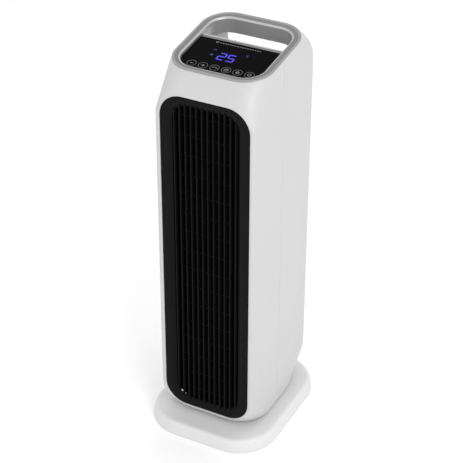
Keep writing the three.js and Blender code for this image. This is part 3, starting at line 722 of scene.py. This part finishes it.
FL = 5.0
inner = [cup_ring(-0.0, -SKIRT + 6), cup_ring(0, -POCKET + FL)] + [cup_ring(-FL * (1 - math.cos(t)) * 0.38, -POCKET + FL * (1 - math.sin(t))) for t in np.linspace(0.2, math.pi / 2, 6)]
outer = [cup_ring(2.0, -POCKET - 2.2), cup_ring(2.0, -SKIRT - 0.3)]
cup = flip(loft("hand_pocket", outer))
boolean(cup, flip(loft("cup_in", list(reversed(inner)))))
wall = box("wall", -IN_W / 2 + 0.4, IN_W / 2 - 0.4, DECK_BACK + 0.3, DECK_BACK + 2.5, -SKIRT - 2, -GLASS_D - 0.05)
boolean(cup, wall, "UNION")
move(cup, CROWN)
tunnel = box("tunnel", -WIN_W / 2 - 2, WIN_W / 2 + 2, 36, 96, WIN_Z0 - 2, WIN_Z1 + 1.6)
boolean(tunnel, hull("room", WALL + 0.3, TOWER_Z + WALL + 0.3, 14), "INTERSECT")
for g, z0 in ((2.3, -SKIRT - 0.3), (0.0, -POCKET)):  # clear of the ring's skirt, and open to the pocket
    room = prism("room", outline(IN_W / 2 + g, DECK_BACK + 2.5 - 3 * g, IN_B + g, 1.5, IN_RB + g, 12, 8, 8, 8), z0, 5)
    move(room, CROWN)
    boolean(tunnel, room)
boolean(cup, tunnel, "UNION")
boolean(cup, flared_y("window_cut", [(110, 0), (36, 0)], rr_pts(WIN_W, WIN_Z0, WIN_Z1, WIN_R)))
piece(cup, "tower", "white_inner", ["handle_pocket"], 30)

# ------------------------------------------------------------------ rear intake
y1 = REAR - 0.6
frame_ring = flip(loft("intake_frame", [
    [(x, y, z) for x, z in outline(INTAKE_W / 2 + g, INTAKE_Z0 - g, INTAKE_Z1 + g, r, r, 8, 4, 12, 4)] for g, r, y in
    ((0, 6.7, y1 - 2.6), (0, 6.7, y1 - 0.5), (-0.5, 6.2, y1), (-6.2, 3.0, y1), (-6.8, 2.6, y1 - 0.6), (-6.8, 2.6, y1 - 2.6))], loop=True))
slats = [frame_ring]
count = 30
step = (INTAKE_Z1 - INTAKE_Z0 - 13.6) / count
for i in range(count):
    z = INTAKE_Z0 + 6.8 + step * (i + 0.5)
    s = rbox("slat", -INTAKE_W / 2 + 5, INTAKE_W / 2 - 5, y1 - 2.5, y1 - 0.2, z - step * 0.24, z + step * 0.24, 0.6, 3)
    slats.append(s)
for x in (-22, 22):
    slats.append(rbox("stay", x - 1.2, x + 1.2, y1 - 2.6, y1 - 0.5, INTAKE_Z0 + 5, INTAKE_Z1 - 5, 0.4, 2))
intake = merge("rear_intake_slats", slats)
piece(intake, "tower", "white_shell", ["rear_intake_grille"], 35)

# ------------------------------------------------------------------ base
def base_ring(inset, z, n=14):
    return [(x, y, z) for x, y in outline(BASE_W / 2 - inset, -BASE_L / 2 + inset, BASE_L / 2 - inset, BASE_R - inset, BASE_R - inset, n, 10, 12, 10)]


prof = np.array([[0.5, 0.5], [0.12, 0.9], [0, 1.5], [0.4, 6], [1.0, 10], [2.2, 15], [3.1, 17.2], [4.2, 18.9], [5.5, 20.1], [6.8, 20.75], [9, 21.3], [12, 21.75], [16, 22.2], [22, 22.6], [28, 22.8]])
s = np.r_[0, np.cumsum(np.hypot(*np.diff(prof, axis=0).T))]
si = np.unique(np.concatenate([np.linspace(s[0], s[2], 5), np.linspace(s[2], s[5], 10), np.linspace(s[5], s[10], 18), np.linspace(s[10], s[-1], 8)]))
rings = [base_ring(a, z) for a, z in zip(monotone(s, prof[:, 0], si), monotone(s, prof[:, 1], si))] + [base_ring(a, z) for a, z in ((36, 22.92), (44, BASE_TOP), (50, BASE_TOP))]
cover = loft("base_cover_skin", rings)
boolean(cover, flip(loft("cover_in", [base_ring(a, z) for a, z in ((2.8, 0), (3.6, 11), (6, 16.6), (9, 18.8), (18, 20.1), (30, 20.8), (46, 20.9))])))
boolean(cover, disc_stack("hole", [(32, 15), (32, 40)], 72))
# the base cover takes the lighter copy of the white plastic, painted light
piece(cover, "base", "white_base", ["base_top_cover"], 30)

# ------------------------------------------------------------------ CAD nodes that keep their own shape
# interior parts take the extra-dark inner black, which carries painted shade
KEEP = {
    "dust_filter": "filter", "display_board": "board", "power_board": "board", "power_relay_block": "black_inner_shaded",
    # the heater elements take the near-black fin colour, painted shade inside the duct
    "ptc_element_lower": "fins_shaded", "ptc_element_upper": "fins_shaded", "heater_frame": "black_inner_shaded", "outlet_duct": "black_inner_shaded",
    "thermal_cutout": "steel", "heater_lower_bracket": "steel", "fan_drum": "black_inner_shaded", "fan_shaft": "steel", "fan_motor": "steel",
    "fan_lower_plate": "black_inner_shaded", "fan_upper_plate": "black_inner_shaded", "fan_upper_bush": "pom", "scroll_wall": "black_inner_shaded",
    "vortex_tongue": "black_inner_shaded", "cord_gland": "rubber", "rocker_housing": "black_part", "power_rocker": "black_part",
    "tower_base_plate": "black_inner_shaded", "swing_gear": "pom", "swing_pinion": "pom", "swing_motor": "steel", "glide_ring": "pom",
    "base_lower_plate": "white_base", "foot_front_left": "rubber", "foot_front_right": "rubber", "foot_rear_left": "rubber",
    "foot_rear_right": "rubber", "tip_switch_body": "black_inner_shaded", "tip_plunger": "rubber",
}
for n in list(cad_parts):
    if n.startswith("shell_screw") or n.startswith("base_screw"):
        KEEP[n] = "steel"
for n, mat in KEEP.items():
    dress(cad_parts[n], mat)

# ------------------------------------------------------------------ floor, light, camera
fl = new_obj("floor", [(-6000, -6000, 0), (6000, -6000, 0), (6000, 6000, 0), (-6000, 6000, 0)], [(0, 1, 2, 3)])
m, nt, b, vec = material("floor")
nt.links.new(ramp(nt, noise(nt, vec, 3, 2), [(0.2, 0.955), (0.8, 0.965)]), b.inputs["Base Color"])
b.inputs["Roughness"].default_value = 0.9
b.inputs["Specular IOR Level"].default_value = 0.0
fl.data.materials.append(m)

world = bpy.data.worlds.new("studio")
scene.world = world
world.use_nodes = True
nt = world.node_tree
nt.nodes.clear()
out = nt.nodes.new("ShaderNodeOutputWorld")
bg = nt.nodes.new("ShaderNodeBackground")
tc = nt.nodes.new("ShaderNodeTexCoord")
sep = nt.nodes.new("ShaderNodeSeparateXYZ")
nt.links.new(tc.outputs["Generated"], sep.inputs[0])
nt.links.new(ramp(nt, sep.outputs["Z"], [(0.0, 1.0), (0.25, 0.96), (0.6, 0.66), (1.0, 0.6)]), bg.inputs["Color"])
bg.inputs["Strength"].default_value = 1.34
nt.links.new(bg.outputs[0], out.inputs[0])


def area(name, loc, at, size, size_y, watts, spread=180):
    li = bpy.data.lights.new(name, "AREA")
    li.shape, li.size, li.size_y, li.energy = "RECTANGLE", size, size_y, watts
    li.spread = math.radians(spread)
    ob = bpy.data.objects.new(name, li)
    coll.objects.link(ob)
    ob.location = loc
    ob.rotation_euler = (Vector(at) - Vector(loc)).to_track_quat("-Z", "Y").to_euler()
    return ob


area("key", (-1.3, -2.4, 1.9), (0, 0, 0.3), 1.6, 1.6, 5)
area("side", (2.3, -1.7, 1.7), (0, 0, 0.3), 1.5, 1.8, 37)
area("top", (0.1, 0.3, 2.6), (0, 0, 0.3), 1.4, 1.4, 8)

K = 610.0 / 677.0
AZ, EL = math.radians(27.781), math.radians(32.192)
back = Vector((math.sin(AZ) * math.cos(EL), -math.cos(AZ) * math.cos(EL), math.sin(EL)))
right = Vector((math.cos(AZ), math.sin(AZ), 0))
up = back.cross(right)
eye = Vector((0, 1.586, 300 * K)) + back * 2361.727 * K - right * 16.291 * K + up * 41.175 * K
cam_data = bpy.data.cameras.new("camera")
cam_data.sensor_width = 36
cam_data.sensor_fit = "HORIZONTAL"
cam_data.lens = 1460.81 / 463 * 36
cam_data.shift_x = 6.912 / 463
cam_data.shift_y = -4.813 / 463
cam_data.clip_start, cam_data.clip_end = 0.05, 40
camera = bpy.data.objects.new("camera", cam_data)
coll.objects.link(camera)
rot = Matrix((right, up, back)).transposed().to_4x4()
camera.matrix_world = Matrix.Translation(eye * MM) @ rot
scene.camera = camera
scene.view_settings.view_transform = "Standard"
scene.view_settings.look = "None"
